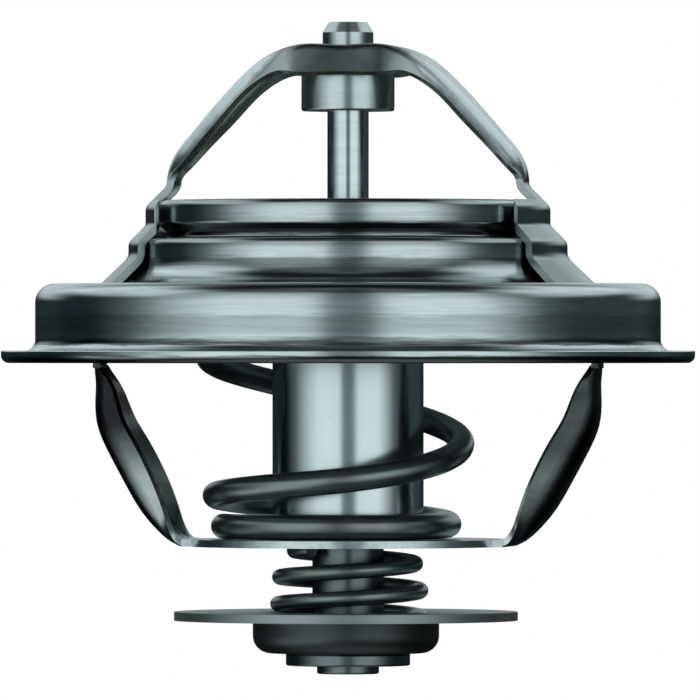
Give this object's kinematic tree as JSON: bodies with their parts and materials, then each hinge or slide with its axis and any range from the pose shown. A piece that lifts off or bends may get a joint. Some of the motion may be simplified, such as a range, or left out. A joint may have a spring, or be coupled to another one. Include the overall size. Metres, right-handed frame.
{
  "type": "engine thermostat",
  "caption": "Wax engine thermostat insert: flanged stepped housing, arched bridge holding the rod, sprung wax capsule valve and a sprung bypass disc below.",
  "frame": {"origin": "centre of the flange's underside, on the valve axis", "axes": "+Z along the valve axis towards the arched bridge, X along both bridges"},
  "size_m": [0.067, 0.067, 0.0629],
  "materials": {
    "housing_steel": "drawn stainless sheet, satin bright",
    "bridge_steel": "pressed stainless sheet, satin bright",
    "turned_steel": "turned steel",
    "rod_steel": "ground stainless rod",
    "spring_wire": "drawn stainless spring wire, dull",
    "cup_metal": "drawn and polished cup",
    "turned_brass": "turned brass",
    "black_rubber": "moulded rubber",
    "ptfe": "cut from sheet",
    "wax": "wax mixed with metal powder"
  },
  "bodies": {
    "housing": {"flange_housing": "housing_steel", "upper_bridge": "bridge_steel", "lower_bridge": "bridge_steel", "rod_holder": "turned_steel", "piston_rod": "rod_steel", "main_spring": "spring_wire"},
    "capsule": {"wax_cup": "cup_metal", "wax_charge": "wax", "rubber_sleeve": "black_rubber", "guide_bush": "turned_brass", "rod_seal": "black_rubber", "chafe_washer": "ptfe", "main_valve_disc": "bridge_steel", "valve_seal": "black_rubber", "bypass_stem": "turned_steel", "retaining_washer": "turned_steel", "bypass_spring": "spring_wire"},
    "bypass": {"bypass_disc": "bridge_steel"}
  },
  "joints": [
    {"name": "valve_stroke", "type": "slide", "parent": "housing", "child": "capsule", "axis": [0, 0, -1], "range_m": [0, 0.008], "stiffness_N_per_m": 9700, "springref_m": -0.006, "deforming": ["main_spring"]},
    {"name": "bypass_slide", "type": "slide", "parent": "capsule", "child": "bypass", "axis": [0, 0, 1], "range_m": [0, 0.004], "stiffness_N_per_m": 6900, "springref_m": -0.002, "deforming": ["bypass_spring"]}
  ]
}
